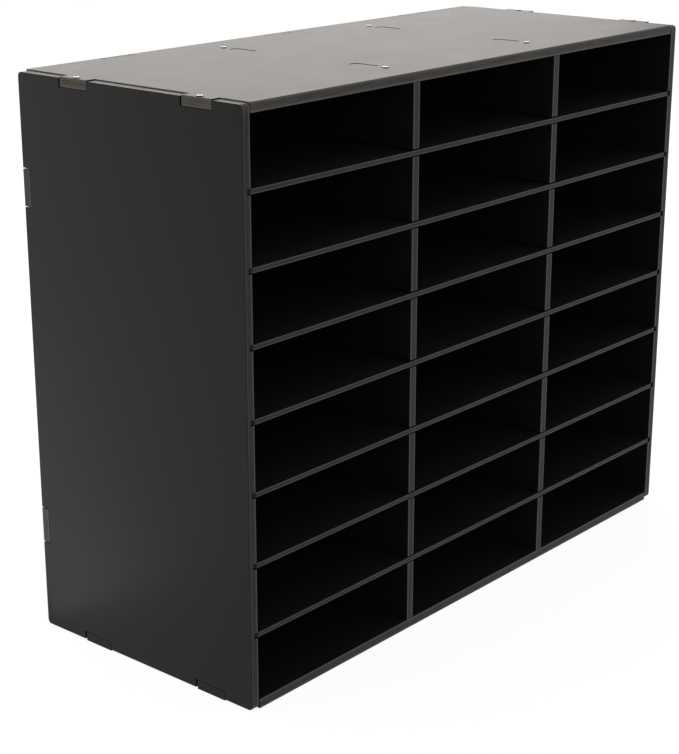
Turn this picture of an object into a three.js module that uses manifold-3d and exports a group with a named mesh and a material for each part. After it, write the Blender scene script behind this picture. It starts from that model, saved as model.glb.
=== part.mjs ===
// Pigeonhole mail sorter: a flat-pack case of dark boards. The top, bottom and back panels hold the sides
// by tabs in notches, each with a wood screw. The dividers stand on tabs in slots, and the shelves cross
// them in half laps, ride in grooves of the sides and slide out to the front.
// Millimetres, +Z up, front towards -Y, origin at the middle of the base.

import * as THREE from 'three';
import { mergeVertices } from 'three/addons/utils/BufferGeometryUtils.js';
import Module from 'manifold-3d';

const wasm = await Module();
wasm.setup();

// Overall size and the grid of pigeonholes
const overallWidth = 737;
const overallDepth = 302;
const overallHeight = 596;
const columnCount = 3;
const rowCount = 8;

// Board stock
const boardThickness = 10;
const shelfThickness = 5.2;
const capProud = 1.2; // top and bottom panels beyond the ends of the sides
const sideCornerRadius = 4.5;
const cornerSteps = 4; // flats in a rounded corner

// Room between pieces
const fitGap = 0.3; // between faces that meet
const capEndRoom = 1; // between the sides and the ends of the top and bottom panels
const tabSlack = 2; // length of a notch beyond the tab in it
const slotSlack = 0.5; // on each side of a divider, in the slots that it passes
const lapRoomAbove = 1.5; // over a shelf, in the divider's notch
const lapRoomBelow = 1; // under a shelf, in the divider's notch

// Tabs of the top, bottom and back panels, in notches of their neighbours
const tabLength = 38;
const rearTabInset = 81; // rear edge to the middle of the rear tab
const frontTabInset = 56; // front edge to the middle of the front tab
const backTabRow = 2; // row of holes beside a tab of the back, from the bottom and from the top

// Tabs of the dividers, in slots of the top and bottom panels
const dividerTabLength = 28;
const dividerTabInset = 68; // front or rear edge to the middle of the tab
const dividerTabSink = 0.4; // end of a tab below the outer face of the panel
const dividerScrewOffset = 14; // outer end of a tab to the screw beside it

// Shelf ends, in grooves of the side panels
const grooveDepth = 4.5;
const tongueSetback = 3; // front edge to the start of the tongue

// Countersunk wood screws with a cross recess
const screwLength = 30;
const screwDiameter = 3.5;
const screwTipLength = 5;
const screwHeadDiameter = 6.8;
const screwHeadRim = 0.4; // upright rim of the head
const screwSink = 0.3; // head below the board's face
const recessSpan = 4;
const recessWidth = 1.1;
const recessDepth = 1.5;
const screwSides = 12;

// How far a cutter stands clear of the face that it cuts
const cutterReach = 2;

// Planes and pitches of the case
const outerX = overallWidth / 2;
const innerX = outerX - boardThickness;
const frontY = -overallDepth / 2;
const rearY = overallDepth / 2;
const backFaceY = rearY - boardThickness;
const innerTopZ = overallHeight - boardThickness;
const innerBottomZ = boardThickness;
const edgeX = outerX - boardThickness / 2;
const columnWidth = (2 * innerX - (columnCount - 1) * boardThickness) / columnCount;
const rowHeight = (innerTopZ - innerBottomZ - (rowCount - 1) * shelfThickness) / rowCount;
const columnPitch = columnWidth + boardThickness;
const rowPitch = rowHeight + shelfThickness;

// Places that several pieces share
const count = (length) => Array.from({ length }, (_, index) => index);
const columnX = count(columnCount).map((index) => -innerX + columnWidth / 2 + index * columnPitch);
const dividerX = count(columnCount - 1).map((index) => columnX[index] + columnPitch / 2);
const shelfZ = count(rowCount - 1).map((index) => innerBottomZ + rowHeight + index * rowPitch);
const sideTabY = [frontY + frontTabInset, rearY - rearTabInset];
const dividerTabY = [frontY + dividerTabInset, rearY - dividerTabInset];
const dividerScrewReach = dividerTabLength / 2 + dividerScrewOffset;
const dividerScrewY = [dividerTabY[0] - dividerScrewReach, dividerTabY[1] + dividerScrewReach];
const backTabRise = (backTabRow - 1) * rowPitch + rowHeight / 2;
const backTabZ = [innerBottomZ + backTabRise, innerTopZ - backTabRise];
const innerRearY = backFaceY - fitGap;
const lapY = (frontY + innerRearY) / 2;

const boardFinish = { color: 0x2d2d2f, roughness: 0.5, metalness: 0, flatShading: true };
const shelfFinish = { color: 0x262627, roughness: 0.55, metalness: 0, flatShading: true };
const screwFinish = { color: 0xd2d5d8, roughness: 0.3, metalness: 1, flatShading: true };

// Closed geometry to a solid, and back
function solidOf(geometry) {
  const bare = geometry.clone();
  bare.deleteAttribute('normal');
  bare.deleteAttribute('uv');
  const merged = mergeVertices(bare, 1e-4);
  const vertProperties = new Float32Array(merged.attributes.position.array);
  const triVerts = new Uint32Array(merged.index.array);
  return new wasm.Manifold(new wasm.Mesh({ numProp: 3, vertProperties, triVerts }));
}

function geometryOf(solid) {
  const mesh = solid.getMesh();
  const geometry = new THREE.BufferGeometry();
  geometry.setAttribute('position', new THREE.BufferAttribute(mesh.vertProperties, 3));
  geometry.setIndex(new THREE.BufferAttribute(mesh.triVerts, 1));
  geometry.computeVertexNormals();
  return geometry;
}

function boxBetween(low, high) {
  const box = new THREE.Box3(new THREE.Vector3(...low), new THREE.Vector3(...high));
  const size = box.getSize(new THREE.Vector3());
  const middle = box.getCenter(new THREE.Vector3());
  return new THREE.BoxGeometry(size.x, size.y, size.z).translate(middle.x, middle.y, middle.z);
}

// A stretch of an edge that stands out as a tab, or goes in as a notch where reach is below zero
function stretch(middle, length, reach) {
  return { from: middle - length / 2, to: middle + length / 2, reach };
}

// A board's outline, counter-clockwise from its low left corner, with the stretches of each edge
function boardShape(
  { left, right, low, high, cornerRadius = 0 },
  { onLow = [], onRight = [], onHigh = [], onLeft = [] },
) {
  const points = [];
  const corner = (x, y) => {
    const last = points.at(-1);
    if (!last || last.x !== x || last.y !== y) points.push(new THREE.Vector2(x, y));
  };
  const roundCorner = (x, y, quarter) => {
    const start = quarter * Math.PI / 2;
    const arc = new THREE.EllipseCurve(x, y, cornerRadius, cornerRadius, start, start + Math.PI / 2);
    arc.getPoints(cornerSteps).forEach((point) => corner(point.x, point.y));
  };
  const ahead = (list) => list.toSorted((a, b) => a.from - b.from).map((s) => [s.from, s.to, s.reach]);
  const backward = (list) => list.toSorted((a, b) => b.to - a.to).map((s) => [s.to, s.from, s.reach]);
  const follow = (list, place) => {
    for (const [start, end, reach] of list) {
      corner(...place(start, 0));
      corner(...place(start, reach));
      corner(...place(end, reach));
      corner(...place(end, 0));
    }
  };
  roundCorner(left + cornerRadius, low + cornerRadius, 2);
  follow(ahead(onLow), (along, reach) => [along, low - reach]);
  roundCorner(right - cornerRadius, low + cornerRadius, 3);
  follow(ahead(onRight), (along, reach) => [right + reach, along]);
  roundCorner(right - cornerRadius, high - cornerRadius, 0);
  follow(backward(onHigh), (along, reach) => [along, high + reach]);
  roundCorner(left + cornerRadius, high - cornerRadius, 1);
  follow(backward(onLeft), (along, reach) => [left - reach, along]);
  return new THREE.Shape(points);
}

// A board lies with its outline in XY, stands across X with its outline in YZ, or across Y with it in XZ
const lying = new THREE.Matrix4();
const acrossX = new THREE.Matrix4().makeBasis(
  new THREE.Vector3(0, 1, 0),
  new THREE.Vector3(0, 0, 1),
  new THREE.Vector3(1, 0, 0),
);
const acrossY = new THREE.Matrix4().makeBasis(
  new THREE.Vector3(1, 0, 0),
  new THREE.Vector3(0, 0, 1),
  new THREE.Vector3(0, -1, 0),
);

function board(shape, thickness, turn) {
  const geometry = new THREE.ExtrudeGeometry(shape, { depth: thickness, bevelEnabled: false });
  return geometry.translate(0, 0, -thickness / 2).applyMatrix4(turn);
}

// The reach of a tab from the board's edge to the far face of the board that it passes
const tabReach = boardThickness + fitGap;

// Top or bottom panel: end tabs over the sides, slots for the dividers, rear notches for the back's tabs
function capPanel() {
  const endX = innerX - capEndRoom;
  const endTabs = sideTabY.map((y) => stretch(y, tabLength, outerX - endX));
  const rearNotches = columnX.map((x) => stretch(x, tabLength + tabSlack, -tabReach));
  const shape = boardShape(
    { left: -endX, right: endX, low: frontY, high: rearY },
    { onLeft: endTabs, onRight: endTabs, onHigh: rearNotches },
  );
  const halfWidth = boardThickness / 2 + slotSlack;
  const halfLength = dividerTabLength / 2 + slotSlack;
  let solid = solidOf(board(shape, boardThickness, lying));
  for (const x of dividerX) {
    for (const y of dividerTabY) {
      const slot = boxBetween(
        [x - halfWidth, y - halfLength, -boardThickness],
        [x + halfWidth, y + halfLength, boardThickness],
      );
      solid = solid.subtract(solidOf(slot));
    }
  }
  return geometryOf(solid);
}

// Side panel: rounded corners, notches for the tabs, and stopped grooves for the shelves on its inner face
function sidePanel(hand) {
  const tabNotch = (y) => ({
    from: y - tabLength / 2 - fitGap,
    to: y + tabLength / 2 + tabSlack,
    reach: capProud - tabReach,
  });
  const edgeNotches = sideTabY.map(tabNotch);
  const rearNotches = backTabZ.map((z) => stretch(z, tabLength + tabSlack, -tabReach));
  const outline = {
    left: frontY,
    right: rearY,
    low: capProud,
    high: overallHeight - capProud,
    cornerRadius: sideCornerRadius,
  };
  const shape = boardShape(outline, { onLow: edgeNotches, onHigh: edgeNotches, onRight: rearNotches });
  const innerFace = -hand * boardThickness / 2;
  let solid = solidOf(board(shape, boardThickness, acrossX));
  for (const z of shelfZ) {
    const groove = boxBetween(
      [innerFace - grooveDepth, frontY - cutterReach, z - fitGap],
      [innerFace + grooveDepth, innerRearY + fitGap, z + shelfThickness + fitGap],
    );
    solid = solid.subtract(solidOf(groove));
  }
  return geometryOf(solid);
}

// Back panel: tabs on all four edges
function backPanel() {
  const endTabs = backTabZ.map((z) => stretch(z, tabLength, tabReach));
  const capTabs = columnX.map((x) => stretch(x, tabLength, tabReach));
  const shape = boardShape(
    { left: fitGap - innerX, right: innerX - fitGap, low: innerBottomZ + fitGap, high: innerTopZ - fitGap },
    { onLeft: endTabs, onRight: endTabs, onLow: capTabs, onHigh: capTabs },
  );
  return board(shape, boardThickness, acrossY);
}

// Divider: tabs above and below, and half-lap notches open to the front
function divider() {
  const capTabs = dividerTabY.map((y) => stretch(y, dividerTabLength, tabReach - dividerTabSink));
  const lapNotches = shelfZ.map((z) => ({
    from: z - lapRoomBelow,
    to: z + shelfThickness + lapRoomAbove,
    reach: frontY - lapY,
  }));
  const shape = boardShape(
    { left: frontY, right: innerRearY, low: innerBottomZ + fitGap, high: innerTopZ - fitGap },
    { onLow: capTabs, onHigh: capTabs, onLeft: lapNotches },
  );
  return board(shape, boardThickness, acrossX);
}

// Shelf: a tongue at each end, and half-lap slots open to the rear
function shelf() {
  const tongue = { from: frontY + tongueSetback, to: innerRearY, reach: grooveDepth };
  const slotDepth = innerRearY - lapY + fitGap;
  const lapSlots = dividerX.map((x) => stretch(x, boardThickness + 2 * slotSlack, -slotDepth));
  const shape = boardShape(
    { left: fitGap - innerX, right: innerX - fitGap, low: frontY, high: innerRearY },
    { onLeft: [tongue], onRight: [tongue], onHigh: lapSlots },
  );
  return board(shape, shelfThickness, lying);
}

// A screw's turned form along Z, with the board's face at zero; grow widens it to its hole
function turnedScrew(grow, topZ) {
  const shankRadius = screwDiameter / 2;
  const headRadius = screwHeadDiameter / 2;
  const rimZ = -screwSink - screwHeadRim;
  const neckZ = rimZ - (headRadius - shankRadius);
  const endZ = -screwSink - screwLength - grow;
  const profile = [
    [0, endZ],
    [shankRadius + grow, endZ + screwTipLength],
    [shankRadius + grow, neckZ],
    [headRadius + grow, rimZ],
    [headRadius + grow, topZ],
    [0, topZ],
  ];
  const points = profile.map(([radius, z]) => new THREE.Vector2(radius, z));
  return new THREE.LatheGeometry(points, screwSides).rotateX(Math.PI / 2);
}

function screw() {
  const bladeAlongX = boxBetween(
    [-recessSpan / 2, -recessWidth / 2, -screwSink - recessDepth],
    [recessSpan / 2, recessWidth / 2, cutterReach],
  );
  const bladeAlongY = bladeAlongX.clone().rotateZ(Math.PI / 2);
  const recess = solidOf(bladeAlongX).add(solidOf(bladeAlongY));
  return geometryOf(solidOf(turnedScrew(0, -screwSink)).subtract(recess));
}

// Every screw: where its head sits, which way the head faces, and the two boards that it joins
const ends = [{ side: 'left', hand: -1 }, { side: 'right', hand: 1 }];
const caps = [
  { cap: 'top', faceZ: overallHeight, middleZ: innerTopZ + boardThickness / 2, facing: [0, 0, 1] },
  { cap: 'bottom', faceZ: 0, middleZ: innerBottomZ - boardThickness / 2, facing: [0, 0, -1] },
];
const depths = ['front', 'rear'];
const levels = ['lower', 'upper'];
const toRear = [0, 1, 0];
const screws = [];

for (const { cap, faceZ, middleZ, facing } of caps) {
  for (const { side, hand } of ends) {
    sideTabY.forEach((y, index) => screws.push({
      name: `${cap}_${side}_${depths[index]}_screw`,
      at: [hand * edgeX, y, faceZ],
      facing,
      joins: [`${cap}_panel`, `${side}_side_panel`],
    }));
  }
  dividerX.forEach((x, column) => dividerScrewY.forEach((y, index) => screws.push({
    name: `${cap}_divider_${column + 1}_${depths[index]}_screw`,
    at: [x, y, faceZ],
    facing,
    joins: [`${cap}_panel`, `divider_${column + 1}`],
  })));
  columnX.forEach((x, column) => screws.push({
    name: `back_${cap}_screw_${column + 1}`,
    at: [x, rearY, middleZ],
    facing: toRear,
    joins: ['back_panel', `${cap}_panel`],
  }));
}
for (const { side, hand } of ends) {
  backTabZ.forEach((z, index) => screws.push({
    name: `back_${side}_${levels[index]}_screw`,
    at: [hand * edgeX, rearY, z],
    facing: toRear,
    joins: ['back_panel', `${side}_side_panel`],
  }));
}

function screwPlace({ at, facing }) {
  const turn = new THREE.Quaternion().setFromUnitVectors(
    new THREE.Vector3(0, 0, 1),
    new THREE.Vector3(...facing),
  );
  return new THREE.Matrix4().compose(new THREE.Vector3(...at), turn, new THREE.Vector3(1, 1, 1));
}

// A board with the holes of every screw that joins it, cut where the placed board meets them
function drilled(name, geometry, place) {
  const toBoard = place.clone().invert();
  let solid = solidOf(geometry);
  for (const entry of screws.filter(({ joins }) => joins.includes(name))) {
    const hole = turnedScrew(fitGap, cutterReach).applyMatrix4(screwPlace(entry)).applyMatrix4(toBoard);
    solid = solid.subtract(solidOf(hole));
  }
  return geometryOf(solid);
}

const sorter = new THREE.Group();
sorter.name = 'pigeonhole_mail_sorter';

function addPiece(name, geometry, finish, place) {
  const mesh = new THREE.Mesh(geometry, new THREE.MeshStandardMaterial(finish));
  mesh.name = name;
  mesh.applyMatrix4(place);
  sorter.add(mesh);
}

function addBoard(name, geometry, place) {
  addPiece(name, drilled(name, geometry, place), boardFinish, place);
}

const moved = (x, y, z) => new THREE.Matrix4().makeTranslation(x, y, z);
const turnedOver = new THREE.Matrix4().makeRotationY(Math.PI);

for (const { side, hand } of ends) {
  addBoard(`${side}_side_panel`, sidePanel(hand), moved(hand * edgeX, 0, 0));
}
for (const { cap, middleZ } of caps) {
  const place = moved(0, 0, middleZ);
  addBoard(`${cap}_panel`, capPanel(), cap === 'bottom' ? place.multiply(turnedOver) : place);
}
addBoard('back_panel', backPanel(), moved(0, rearY - boardThickness / 2, 0));
dividerX.forEach((x, index) => addBoard(`divider_${index + 1}`, divider(), moved(x, 0, 0)));
shelfZ.forEach((z, index) => {
  addPiece(`shelf_${index + 1}`, shelf(), shelfFinish, moved(0, 0, z + shelfThickness / 2));
});
screws.forEach((entry) => addPiece(entry.name, screw(), screwFinish, screwPlace(entry)));

export default sorter;
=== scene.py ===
import math
import bmesh
import bpy
from mathutils import Matrix, Vector


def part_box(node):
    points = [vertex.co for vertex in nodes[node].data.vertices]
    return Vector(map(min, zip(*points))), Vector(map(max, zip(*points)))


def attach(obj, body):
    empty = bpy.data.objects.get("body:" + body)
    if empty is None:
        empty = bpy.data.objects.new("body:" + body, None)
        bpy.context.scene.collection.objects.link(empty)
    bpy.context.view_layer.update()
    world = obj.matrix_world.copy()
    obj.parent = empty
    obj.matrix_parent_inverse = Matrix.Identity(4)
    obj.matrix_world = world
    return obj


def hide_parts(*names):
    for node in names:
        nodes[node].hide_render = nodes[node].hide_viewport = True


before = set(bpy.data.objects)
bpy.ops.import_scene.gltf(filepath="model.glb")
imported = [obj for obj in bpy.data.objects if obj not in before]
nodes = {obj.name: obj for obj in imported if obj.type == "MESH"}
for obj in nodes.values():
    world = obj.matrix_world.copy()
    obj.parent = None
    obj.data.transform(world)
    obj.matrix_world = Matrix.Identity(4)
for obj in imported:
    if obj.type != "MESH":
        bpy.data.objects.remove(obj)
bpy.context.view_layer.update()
scene = bpy.context.scene
scene.view_settings.view_transform = "Standard"
print("frame loaded:", len(nodes), "nodes")

# metres and degrees, the lens in millimetres; the aim is the point in the middle of the picture
photoView = {
    "azimuth": -49.4,
    "elevation": 18.2,
    "distance": 1.998,
    "aim": (-0.0449, 0.0140, 0.2290),
    "lens": 84.8,
    "nearest": 0.01,
}


def addCamera(view):
    azimuth = math.radians(view["azimuth"])
    elevation = math.radians(view["elevation"])
    away = Vector((
        math.sin(azimuth) * math.cos(elevation),
        -math.cos(azimuth) * math.cos(elevation),
        math.sin(elevation),
    ))
    lens = bpy.data.cameras.new("photoCamera")
    lens.lens = view["lens"]
    lens.clip_start = view["nearest"]
    camera = bpy.data.objects.new("photoCamera", lens)
    camera.location = Vector(view["aim"]) + away * view["distance"]
    camera.rotation_euler = away.to_track_quat("Z", "Y").to_euler()
    scene.collection.objects.link(camera)
    scene.camera = camera


addCamera(photoView)
print("camera placed")


# a node's socket as a number in Python expressions
class Value:
    def __init__(self, tree, socket):
        self.tree = tree
        self.socket = socket

    def maths(self, operation, other=None, swapped=False):
        node = self.tree.nodes.new("ShaderNodeMath")
        node.operation = operation
        operands = [other, self] if swapped else [self, other]
        for slot, operand in zip(node.inputs, operands):
            if operand is not None:
                feed(self.tree, slot, operand)
        return Value(self.tree, node.outputs[0])

    def __add__(self, other):
        return self.maths("ADD", other)

    __radd__ = __add__

    def __sub__(self, other):
        return self.maths("SUBTRACT", other)

    def __rsub__(self, other):
        return self.maths("SUBTRACT", other, True)

    def __mul__(self, other):
        return self.maths("MULTIPLY", other)

    __rmul__ = __mul__

    def __truediv__(self, other):
        return self.maths("DIVIDE", other)

    def __rtruediv__(self, other):
        return self.maths("DIVIDE", other, True)

    def __neg__(self):
        return self.maths("MULTIPLY", -1)

    def __abs__(self):
        return self.maths("ABSOLUTE")

    def larger(self, other):
        return self.maths("MAXIMUM", other)

    def fromNearest(self, pitch):
        return self.maths("PINGPONG", pitch / 2)  # distance to the nearest whole pitch


def feed(tree, slot, value):
    if isinstance(value, Value):
        tree.links.new(value.socket, slot)
    elif slot.type == "RGBA" and len(value) == 3:
        slot.default_value = (*value, 1)
    else:
        slot.default_value = value


# the node tree of one material, or of the world
class Finish:
    def __init__(self, owner):
        owner.use_nodes = True
        self.owner = owner
        self.tree = owner.node_tree
        self.tree.nodes.clear()

    # settings first, then the values or links of the sockets; gives back the outputs that are asked for
    def add(self, kind, settings=None, sockets=None, outputs=None):
        node = self.tree.nodes.new("ShaderNode" + kind)
        for name, value in (settings or {}).items():
            setattr(node, name, value)
        for name, value in (sockets or {}).items():
            usable = [each for each in node.inputs if each.enabled]
            slot = next(each for each in usable if name in (each.identifier, each.name))
            feed(self.tree, slot, value)
        shown = [each for each in node.outputs if each.enabled]
        if outputs is None:
            return Value(self.tree, shown[0]) if shown else None
        found = [next(each for each in shown if each.name == name) for name in outputs]
        return [Value(self.tree, socket) for socket in found]

    # 0 where the value is at or under low, 1 from high on, smooth between
    def ramp(self, value, low, high):
        limits = {"Value": value, "From Min": low, "From Max": high}
        return self.add("MapRange", {"interpolation_type": "SMOOTHSTEP"}, limits)

    def mix(self, factor, low, high):
        settings = {"data_type": "RGBA", "clamp_factor": True}
        return self.add("Mix", settings, {"Factor": factor, "A": low, "B": high})

    # cloudy tone from 0 to 1, with cells of the given size in metres along X, Y and Z
    def clouds(self, place, cells, detail):
        scaled = self.add(
            "VectorMath",
            {"operation": "MULTIPLY"},
            {"Vector": place, "Vector_001": [1 / cell for cell in cells]},
        )
        return self.add("TexNoise", None, {"Vector": scaled, "Scale": 1.0, "Detail": detail}, ["Fac"])[0]

    # a number that wanders about its middle with a cloudy tone
    def drift(self, tone, middle, span):
        return middle + (tone - 0.5) * span


# coat of the boards' faces and the layered stock that their edges show
boardLook = {
    "coat": (0.0074, 0.0073, 0.0072),
    "coatWorn": (0.0098, 0.0097, 0.0095),
    "coatRoughness": 0.42,
    "coatRoughnessDrift": 0.05,
    "gloss": 0.145,
    "cloudSize": 0.16,
    "cloudDetail": 3.0,
    "smudgeSize": 0.045,
    "smudgeDetail": 5.0,
    "peelSize": 0.0011,
    "peelDetail": 2.0,
    "peelHeight": 0.0000035,
    "sprayedDark": (0.0165, 0.0158, 0.0151),
    "sprayedLight": (0.0355, 0.0342, 0.0328),
    "sprayedSkin": (0.0860, 0.0835, 0.0810),
    "bareDark": (0.0680, 0.0570, 0.0450),
    "bareLight": (0.1480, 0.1300, 0.1100),
    # the lighter skins of the bare stock; the same tone is also the painted highlight on bare arrises
    "bareSkinAndArrisHighlight": (0.1450, 0.1320, 0.1190),
    # painted highlight on the eased arrises of sprayed edges
    "paintedArrisHighlight": (0.0680, 0.0655, 0.0630),
    "coreRoughness": 0.47,
    "skinRoughness": 0.39,
    "fibreLength": 0.024,
    "fibreWidth": 0.0013,
    "fibreDetail": 4.0,
    "fibreHeight": 0.00004,
    "fibreTones": (0.3, 0.7),  # from here on, where a change starts and where it is complete
    "skinDepth": (0.50, 0.72),  # shares of half the thickness
    "rimBand": (0.66, 0.82),
    "tabReach": (0.012, 0.0144),  # metres in from the outline
    "frontEdge": (0.0015, 0.0030),
    "cornerReach": (0.0, 0.014),
    "turnedTo": (0.4, 0.8),  # the normal's part along an axis
    "arrisTurn": (0.15, 0.55),
    "endTurn": (0.25, 0.60),
    "faceTurn": (0.70, 0.97),
}


# front and rear edges are sprayed dark, but rubbed on some boards and at the uprights' corners
def sprayOn(shader, group, look, at, turned, middle, half):
    spray = shader.ramp(abs(turned[1]), *look["turnedTo"]) * (1 - group["rubbed"])
    if group["cornerRub"]:
        kept = shader.ramp(half[2] - abs(at[2] - middle[2]), *look["cornerReach"])
        spray = spray * (1 - (1 - kept) * group["cornerRub"])
    return spray.larger(group["endSpray"])


# fibres between two lighter skins, sprayed or bare, with a lighter tone painted on the arrises as a
# highlight
def layeredEdge(shader, look, fibres, nearFace, spray, facing):
    sprayed = shader.mix(fibres, look["sprayedDark"], look["sprayedLight"])
    sprayed = shader.mix(nearFace, sprayed, look["sprayedSkin"])
    bare = shader.mix(fibres, look["bareDark"], look["bareLight"])
    bare = shader.mix(nearFace, bare, look["bareSkinAndArrisHighlight"])
    layered = shader.mix(spray, bare, sprayed)
    # the arrises take a lighter tone: a painted highlight along the eased edges, from the bare skin tone
    # where the edge is bare
    paintedArrisHighlight = shader.mix(spray, look["bareSkinAndArrisHighlight"], look["paintedArrisHighlight"])
    return shader.mix(shader.ramp(facing, *look["arrisTurn"]), layered, paintedArrisHighlight)


# the walls of slots, notches and grooves, and the ends of some boards, take the dark coat colour as painted
# shade; the outer rims of the sides take the coat itself
def coatAndPaintedShade(shader, group, look, at, turned, low, middle, half):
    thinAxis = group["thinAxis"]
    # walls of notches behind the front edge, and walls of slots and grooves deep in the board, darkened to
    # the coat colour as painted shade
    coatAndShade = shader.ramp(-turned[1], *look["turnedTo"]) * shader.ramp(at[1] - low[1], *look["frontEdge"])
    for axis in [each for each in range(3) if each != thinAxis]:
        inside = shader.ramp(half[axis] - abs(at[axis] - middle[axis]), *look["tabReach"])
        coatAndShade = coatAndShade.larger(inside * shader.ramp(abs(turned[axis]), *look["turnedTo"]))
    if group["paintedShadeOnEnds"]:
        # tab ends darkened to the coat colour: painted shade
        coatAndShade = coatAndShade.larger(shader.ramp(abs(turned[0]), *look["endTurn"]))
    if group["coatedRim"]:
        outside = (abs(at[thinAxis]) - abs(middle[thinAxis])) / half[thinAxis]
        coatAndShade = coatAndShade.larger(shader.ramp(outside, *look["rimBand"]))
    return coatAndShade


def boardFinish(group, look):
    thinAxis = group["thinAxis"]
    low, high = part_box(group["boards"][0])
    middle = (low + high) / 2
    half = (high - low) / 2
    pitch = 1.0  # of a board alone: more than any board measures
    if len(group["boards"]) > 1:
        nextLow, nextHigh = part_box(group["boards"][1])
        pitch = (nextLow[thinAxis] + nextHigh[thinAxis]) / 2 - middle[thinAxis]
    shader = Finish(bpy.data.materials.new(group["finish"]))
    place, normal = shader.add("TexCoord", None, None, ["Object", "Normal"])
    at = shader.add("SeparateXYZ", None, {"Vector": place}, ["X", "Y", "Z"])
    turned = shader.add("SeparateXYZ", None, {"Vector": normal}, ["X", "Y", "Z"])
    facing = abs(turned[thinAxis])
    across = (at[thinAxis] - middle[thinAxis]).fromNearest(pitch) / half[thinAxis]

    # faces: an even coat with faint clouds and smudges
    clouds = shader.clouds(place, [look["cloudSize"]] * 3, look["cloudDetail"])
    smudges = shader.clouds(place, [look["smudgeSize"]] * 3, look["smudgeDetail"])
    peel = shader.clouds(place, [look["peelSize"]] * 3, look["peelDetail"])
    coat = shader.mix(clouds, look["coat"], look["coatWorn"])
    coatRoughness = shader.drift(smudges, look["coatRoughness"], look["coatRoughnessDrift"])

    # edges: the stock of the board, darkened to the coat colour as painted shade in slots, notches and on
    # some ends, and coated over the sides' outer rims
    cells = [look["fibreLength"]] * 3
    cells[thinAxis] = look["fibreWidth"]
    fibres = shader.ramp(shader.clouds(place, cells, look["fibreDetail"]), *look["fibreTones"])
    nearFace = shader.ramp(across, *look["skinDepth"])
    spray = sprayOn(shader, group, look, at, turned, middle, half)
    edge = layeredEdge(shader, look, fibres, nearFace, spray, facing)
    edge = shader.mix(coatAndPaintedShade(shader, group, look, at, turned, low, middle, half), edge, coat)
    edgeRoughness = look["coreRoughness"] - nearFace * (look["coreRoughness"] - look["skinRoughness"])

    onFace = shader.ramp(facing, *look["faceTurn"])
    height = onFace * peel * look["peelHeight"] + (1 - onFace) * fibres * look["fibreHeight"]
    surface = shader.add("BsdfPrincipled", None, {
        "Base Color": shader.mix(onFace, edge, coat),
        "Roughness": edgeRoughness + onFace * (coatRoughness - edgeRoughness),
        "Specular IOR Level": look["gloss"],
        "Normal": shader.add("Bump", None, {"Height": height, "Distance": 1.0, "Strength": 1.0}),
    })
    shader.add("OutputMaterial", None, {"Surface": surface})
    return shader.owner


# boards that share a finish; what a group doesn't say is as on the plain board
shelves = ["shelf_%d" % number for number in range(1, 8)]
uprights = ["left_side_panel", "divider_1", "divider_2", "right_side_panel"]
plainBoard = {
    "ease": 0.0004,  # metres off each sharp edge
    "rubbed": 0.0,  # share of the spray gone from front and rear edges
    "cornerRub": 0.0,  # share gone at the upper and lower corners
    "endSpray": 0.0,  # share of the spray on the other edges
    # tab ends darkened to the coat colour, as painted shade
    "paintedShadeOnEnds": False,
    "coatedRim": False,
}
boardGroups = [
    {**plainBoard, "finish": "topBoard", "thinAxis": 2, "boards": ["top_panel"], "rubbed": 0.38},
    {**plainBoard, "finish": "bottomBoard", "thinAxis": 2, "boards": ["bottom_panel"],
     "rubbed": 0.12, "paintedShadeOnEnds": True},
    {**plainBoard, "finish": "uprightBoards", "thinAxis": 0, "boards": uprights,
     "ease": 0.0005, "cornerRub": 0.4, "coatedRim": True},
    {**plainBoard, "finish": "backBoard", "thinAxis": 1, "boards": ["back_panel"], "endSpray": 0.55},
    {**plainBoard, "finish": "shelfBoards", "thinAxis": 2, "boards": shelves, "ease": 0.0005},
]
easing = {"weldDistance": 0.00001, "flatAngle": 1.0, "sharpAngle": 50.0, "segments": 3}


def easeEdges(board, width, form):
    weld = board.modifiers.new("joinFaces", "WELD")
    weld.merge_threshold = form["weldDistance"]
    flat = board.modifiers.new("flatFaces", "DECIMATE")
    flat.decimate_type = "DISSOLVE"
    flat.angle_limit = math.radians(form["flatAngle"])
    bevel = board.modifiers.new("easedEdges", "BEVEL")
    bevel.width = width
    bevel.segments = form["segments"]
    bevel.limit_method = "ANGLE"
    bevel.angle_limit = math.radians(form["sharpAngle"])
    bevel.use_clamp_overlap = False
    bevel.loop_slide = False
    bevel.harden_normals = True


for group in boardGroups:
    finish = boardFinish(group, boardLook)
    for name in group["boards"]:
        nodes[name].material_slots[0].material = finish
        easeEdges(nodes[name], group["ease"], easing)
print("boards finished")

# countersunk wood screw, head up along Z with the rim of its head at zero
# collar and crown are left off where the board's face must lie flat
screwForm = {
    "length": 0.030,
    "headRadius": 0.0033,
    "rimHeight": 0.0007,
    "rimEase": 0.00055,
    "collar": 0.0012,
    "crown": 0.0003,
    "crownRings": (0.70, 0.82, 0.92),
    "neckRadius": 0.0013,
    "coreRadius": 0.00115,
    "crestRadius": 0.00175,
    "pitch": 0.0022,
    "levelsPerPitch": 6,
    "threadTop": -0.0050,
    "tipLength": 0.005,
    "tipShare": 0.02,
    "sides": 32,
    "recessSpan": 0.0026,
    "recessWidth": 0.0006,
    "recessDepth": 0.0016,
    "recessTaper": 0.45,
    "sharpAngle": 40.0,
    "turnStep": 37.0,
}


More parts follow.
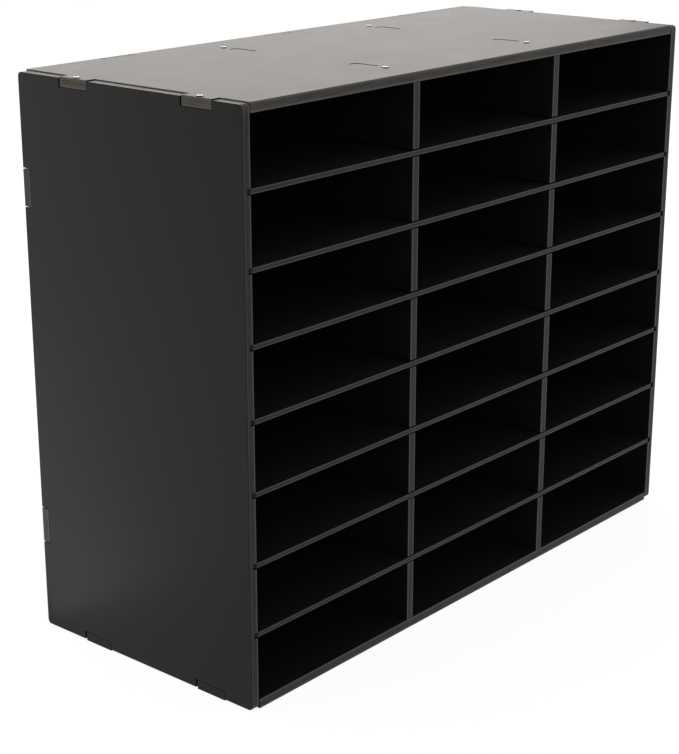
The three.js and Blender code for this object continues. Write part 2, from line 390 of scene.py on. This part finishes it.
def screwMesh(name, form, raised):
    mesh = bmesh.new()
    sides = form["sides"]
    turns = [2 * math.pi * index / sides for index in range(sides)]

    def ring(z, radiusAt):
        return [
            mesh.verts.new((radiusAt(turn) * math.cos(turn), radiusAt(turn) * math.sin(turn), z))
            for turn in turns
        ]

    def skin(upper, lower):
        for index in range(sides):
            after = (index + 1) % sides
            mesh.faces.new((upper[index], lower[index], lower[after], upper[after]))

    def threadRadius(z, turn):
        phase = 2 * math.pi * z / form["pitch"] - turn
        ridge = (0.5 + 0.5 * math.cos(phase)) ** 2
        toTip = min(1, (z + form["length"]) / form["tipLength"])
        fade = min(1, (form["threadTop"] - z) / form["pitch"])
        depth = (form["crestRadius"] - form["coreRadius"]) * ridge * fade
        return (form["coreRadius"] + depth) * max(toTip, form["tipShare"])

    headRadius = form["headRadius"]
    flatRadius = headRadius - form["rimEase"]
    collar = form["collar"] if raised else 0
    crown = form["crown"] if raised else 0

    def crownAt(radius):
        return collar + crown * (1 - (radius / flatRadius) ** 2)

    # head and neck from the crown down, then the thread
    crownRadii = [flatRadius * share for share in form["crownRings"]]
    rings = [ring(crownAt(radius), lambda turn: radius) for radius in crownRadii]
    topRing = rings[0]
    rings += [
        ring(collar, lambda turn: flatRadius),
        ring(collar - form["rimEase"], lambda turn: headRadius),
        ring(-form["rimHeight"], lambda turn: headRadius),
        ring(-form["rimHeight"] - headRadius + form["neckRadius"], lambda turn: form["neckRadius"]),
    ]
    step = form["pitch"] / form["levelsPerPitch"]
    levels = int((form["threadTop"] + form["length"]) / step)
    for level in range(levels):
        z = form["threadTop"] - level * step
        rings.append(ring(z, lambda turn: threadRadius(z, turn)))
    for upper, lower in zip(rings, rings[1:]):
        skin(upper, lower)
    tip = mesh.verts.new((0, 0, -form["length"]))
    for index in range(sides):
        mesh.faces.new((rings[-1][index], tip, rings[-1][(index + 1) % sides]))

    # cross recess, narrower at its floor
    span = form["recessSpan"] / 2
    wing = form["recessWidth"] / 2
    quarter = [Vector(point) for point in ((wing, wing), (wing, span), (-wing, span))]
    quarterTurns = [Matrix.Rotation(math.pi / 2 * number, 2) for number in range(4)]
    cross = [turn @ point for turn in quarterTurns for point in quarter]
    mouth = [mesh.verts.new((*point, crownAt(point.length))) for point in cross]
    floor = [mesh.verts.new((*(point * form["recessTaper"]), -form["recessDepth"])) for point in cross]
    for index in range(len(cross)):
        after = (index + 1) % len(cross)
        mesh.faces.new((mouth[index], mouth[after], floor[after], floor[index]))
    mesh.faces.new(floor)
    rim = [mesh.edges.get((topRing[index], topRing[(index + 1) % sides])) for index in range(sides)]
    lip = [mesh.edges.get((mouth[index - 1], mouth[index])) for index in range(len(mouth))]
    bmesh.ops.triangle_fill(mesh, edges=rim + lip, use_beauty=True)
    bmesh.ops.recalc_face_normals(mesh, faces=mesh.faces)
    data = bpy.data.meshes.new(name)
    mesh.to_mesh(data)
    mesh.free()
    data.shade_smooth()
    data.set_sharp_from_angle(angle=math.radians(form["sharpAngle"]))
    return data


zincLook = {
    "bright": (0.58, 0.57, 0.54),
    "dull": (0.46, 0.46, 0.44),
    # painted shade on the flanks and recess walls of the heads
    "paintedFlankShade": (0.030, 0.029, 0.028),
    "topTurn": (0.75, 0.95),
    "roughness": 0.24,
    "roughnessDrift": 0.16,
    "spotSize": 0.0012,
    "spotDetail": 3.0,
    "ringSize": 0.00022,
    "ringHeight": 0.000004,
}


# turned rings and dull spots on the head; the flanks and recess walls are darker, as painted shade
def zincFinish(look):
    shader = Finish(bpy.data.materials.new("zincScrews"))
    place, normal = shader.add("TexCoord", None, None, ["Object", "Normal"])
    x, y = shader.add("SeparateXYZ", None, {"Vector": place}, ["X", "Y"])
    upward = shader.add("SeparateXYZ", None, {"Vector": normal}, ["Z"])[0]
    radius = (x * x + y * y).maths("SQRT")
    rings = (radius * (2 * math.pi / look["ringSize"])).maths("SINE")
    spots = shader.clouds(place, [look["spotSize"]] * 3, look["spotDetail"])
    worn = shader.mix(spots, look["dull"], look["bright"])
    # the top keeps the zinc tone, the steeper flanks take the painted shade
    onTop = shader.ramp(upward, *look["topTurn"])
    surface = shader.add("BsdfPrincipled", None, {
        "Base Color": shader.mix(onTop, look["paintedFlankShade"], worn),
        "Roughness": shader.drift(spots, look["roughness"], look["roughnessDrift"]),
        "Metallic": 1.0,
        "Normal": shader.add("Bump", None, {"Height": rings * look["ringHeight"], "Distance": 1.0}),
    })
    shader.add("OutputMaterial", None, {"Surface": surface})
    return shader.owner


zincScrews = zincFinish(zincLook)
raisedScrew = screwMesh("raisedScrew", screwForm, True)
flatScrew = screwMesh("flatScrew", screwForm, False)
for data in (raisedScrew, flatScrew):
    data.materials.append(zincScrews)
facings = {"top": Vector((0, 0, 1)), "bottom": Vector((0, 0, -1)), "back": Vector((0, 1, 0))}
screwMeshes = {"top": raisedScrew, "bottom": flatScrew, "back": flatScrew}
screwNodes = sorted(name for name in nodes if "_screw" in name)
for number, name in enumerate(screwNodes):
    low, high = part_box(name)
    panel = name.split("_")[0]
    facing = facings[panel]
    head = (low + high) / 2 + facing * (high - low) / 2
    tilt = facing.to_track_quat("Z", "Y").to_matrix().to_4x4()
    turn = Matrix.Rotation(math.radians(screwForm["turnStep"] * number), 4, "Z")
    piece = bpy.data.objects.new(name + "_turned", screwMeshes[panel])
    piece.matrix_world = Matrix.Translation(head) @ tilt @ turn
    scene.collection.objects.link(piece)
    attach(piece, "carcass")
    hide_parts(name)
print("screws set:", len(screwNodes))

# pale floor and white surround, which only the camera and reflections see as white
stageLook = {
    "floorSize": 14.0,
    "floorGap": 0.0002,
    "floorColour": (0.36, 0.36, 0.36),
    "glow": 0.87,
    "daylight": 0.40,
    "white": 1.0,
}


def seenDirectly(shader):
    asked = ["Is Camera Ray", "Is Glossy Ray", "Is Transmission Ray"]
    camera, glossy, clear = shader.add("LightPath", None, None, asked)
    return camera.larger(glossy).larger(clear)


def addFloor(look):
    half = look["floorSize"] / 2
    corners = [(-half, -half), (half, -half), (half, half), (-half, half)]
    data = bpy.data.meshes.new("studioFloor")
    data.from_pydata([(x, y, -look["floorGap"]) for x, y in corners], [], [(0, 1, 2, 3)])
    shader = Finish(bpy.data.materials.new("paleFloor"))
    matt = shader.add("BsdfDiffuse", None, {"Color": look["floorColour"]})
    glow = shader.add("Emission", None, {"Color": (1, 1, 1), "Strength": look["glow"]})
    lit = shader.add("AddShader", None, {"Shader": matt, "Shader_001": glow})
    mixed = shader.add("MixShader", None, {"Fac": seenDirectly(shader), "Shader": matt, "Shader_001": lit})
    shader.add("OutputMaterial", None, {"Surface": mixed})
    data.materials.append(shader.owner)
    floor = bpy.data.objects.new("studioFloor", data)
    scene.collection.objects.link(floor)


def addSurround(look):
    world = bpy.data.worlds.new("whiteSurround")
    scene.world = world
    shader = Finish(world)
    dim = shader.add("Background", None, {"Color": (1, 1, 1), "Strength": look["daylight"]})
    white = shader.add("Background", None, {"Color": (1, 1, 1), "Strength": look["white"]})
    mixed = shader.add("MixShader", None, {"Fac": seenDirectly(shader), "Shader": dim, "Shader_001": white})
    shader.add("OutputWorld", None, {"Surface": mixed})


addFloor(stageLook)
addSurround(stageLook)

softLights = [
    {"name": "rearSoftbox", "at": (1.6, 2.3, 1.40), "aim": (-0.1, 0, 0.6), "size": (3.2, 1.8),
     "watts": 35.0, "colour": (1.0, 0.93, 0.87)},
    {"name": "keySoftbox", "at": (-1.2, -2.8, 1.3), "aim": (0, 0, 0.3), "size": (1.8, 1.8),
     "watts": 16.0, "colour": (1.0, 1.0, 1.0)},
    {"name": "sideSoftbox", "at": (-0.70, 0.97, 0.37), "aim": (-1.51, 0.39, 0.26), "size": (0.90, 0.70),
     "watts": 3.9, "colour": (1.0, 1.0, 1.0)},
    {"name": "lowSoftbox", "at": (-0.51, 0.33, 0.095), "aim": (-0.38, -0.03, 1.015), "size": (0.12, 0.46),
     "watts": 0.16, "colour": (1.0, 1.0, 1.0)},
]
for light in softLights:
    lamp = bpy.data.lights.new(light["name"], "AREA")
    lamp.shape = "RECTANGLE"
    lamp.size, lamp.size_y = light["size"]
    lamp.energy = light["watts"]
    lamp.color = light["colour"]
    holder = bpy.data.objects.new(light["name"], lamp)
    holder.location = light["at"]
    toLight = Vector(light["at"]) - Vector(light["aim"])
    holder.rotation_euler = toLight.to_track_quat("Z", "Y").to_euler()
    holder.visible_camera = False
    scene.collection.objects.link(holder)
print("stage lit")

bpy.context.view_layer.update()
